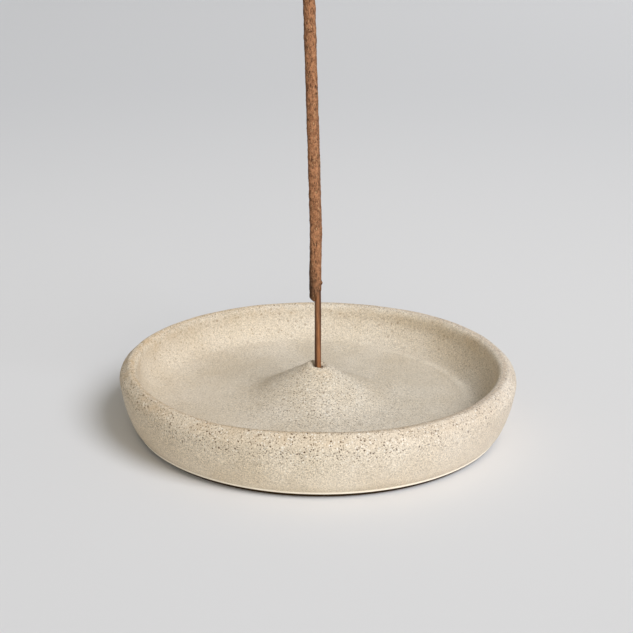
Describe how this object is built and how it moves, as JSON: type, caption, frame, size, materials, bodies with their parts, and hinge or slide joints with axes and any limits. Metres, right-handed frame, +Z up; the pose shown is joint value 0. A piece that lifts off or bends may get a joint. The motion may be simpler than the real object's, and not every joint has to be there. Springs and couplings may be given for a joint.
{
  "type": "incense burner",
  "caption": "Round one-piece speckled stoneware dish with a low central mound, whose socket holds a leaning incense stick that lifts out; the dish catches the ash.",
  "frame": {"origin": "centre of the dish's flat base, on the surface it stands on", "axes": "+Z up, -Y towards the front, +X to the right; the stick leans a little towards -X"},
  "size_m": [0.115, 0.115, 0.2012],
  "materials": {
    "stoneware": "matte, speckled, unglazed",
    "bamboo": "satin, split bamboo",
    "incense": "matte, rough dried paste of wood powder"
  },
  "bodies": {
    "dish": {"dish": "stoneware"},
    "stick": {"bamboo_core": "bamboo", "incense_paste": "incense"}
  },
  "joints": [
    {"name": "stick_lift", "type": "slide", "parent": "dish", "child": "stick", "axis": [-0.0332, 0, 0.9995], "range_m": [0, 0.04]}
  ]
}
